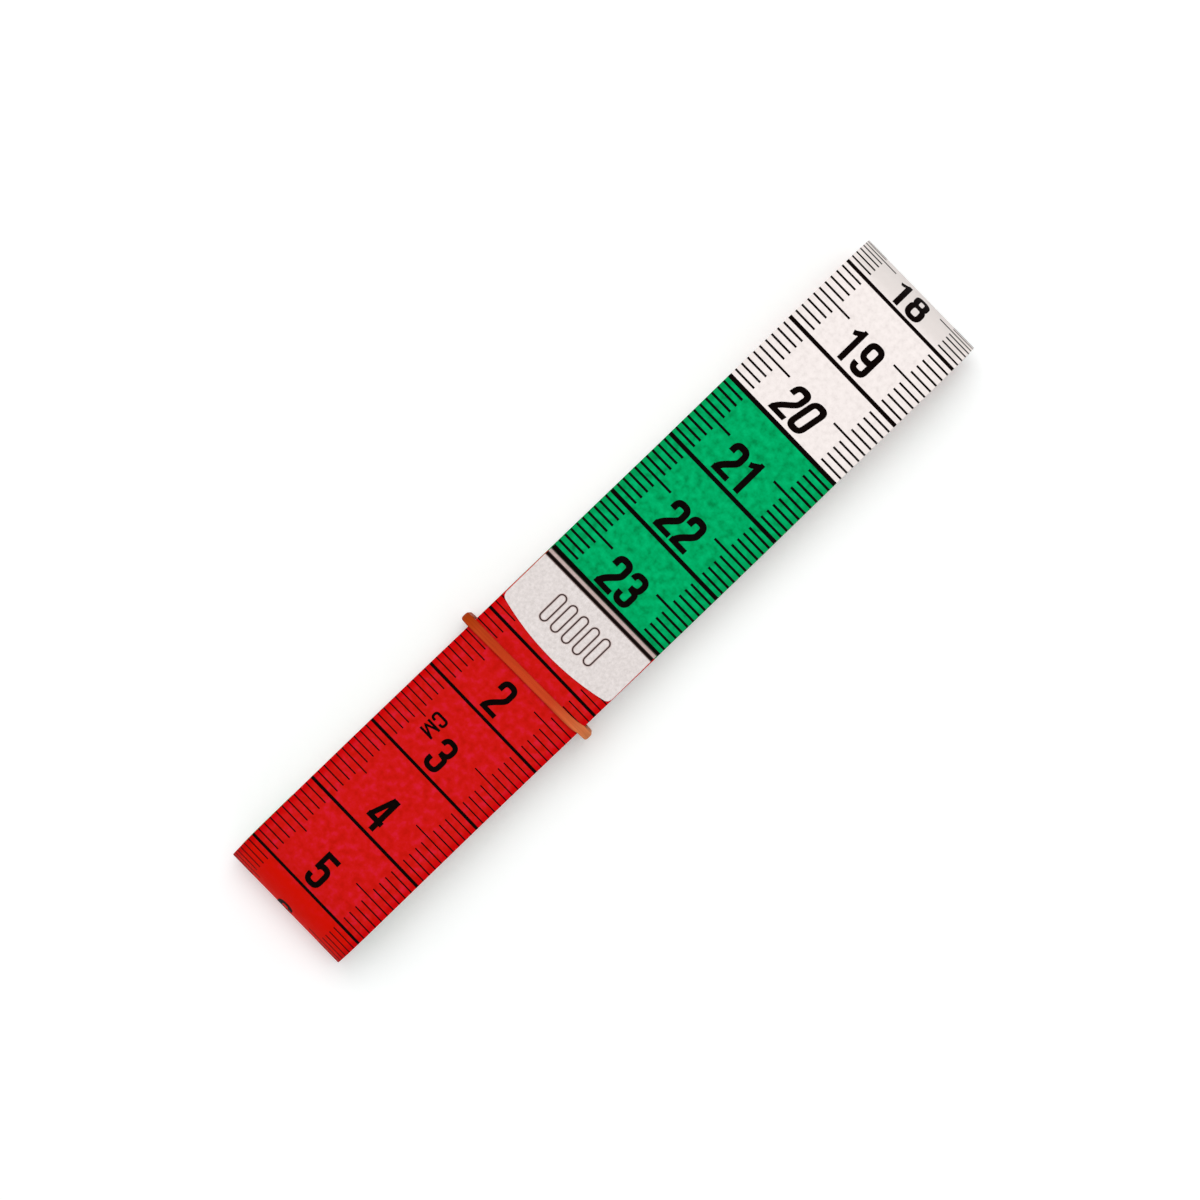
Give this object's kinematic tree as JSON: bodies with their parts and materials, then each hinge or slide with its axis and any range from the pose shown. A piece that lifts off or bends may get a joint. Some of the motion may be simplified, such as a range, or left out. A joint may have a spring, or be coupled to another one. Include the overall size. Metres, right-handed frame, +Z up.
{
  "type": "cloth tape measure",
  "caption": "Flexible sewing tape measure, wound flat with a metal-tipped end on top and held by a rubber band.",
  "frame": {"origin": "on the surface that the wound bundle lies on, under the middle of its length and width", "axes": "+X from the red end fold to the white end fold, along the bundle; +Z up, out of the printed top; +Y across the tape"},
  "size_m": [0.1094, 0.0214, 0.0119],
  "materials": {
    "printed_tape": "satin",
    "printed_tape_end": "satin",
    "ferrule_metal": "satin",
    "band_rubber": "satin"
  },
  "bodies": {
    "bundle": {"tape_winding": "printed_tape", "inner_ferrule": "ferrule_metal"},
    "free_end": {"tape_free_end": "printed_tape_end", "outer_ferrule": "ferrule_metal"},
    "band": {"rubber_band": "band_rubber"}
  },
  "joints": [
    {"name": "free_end_peel", "type": "hinge", "parent": "bundle", "child": "free_end", "pos_m": [-0.01102, 0, 0.01061], "axis": [0, -1, 0], "range_deg": [0, 90], "stiffness_Nm_per_rad": 0.002},
    {"name": "band_slide", "type": "slide", "parent": "bundle", "child": "band", "axis": [-1, 0, 0], "range_m": [0, 0.044], "deforming": ["rubber_band"]}
  ]
}
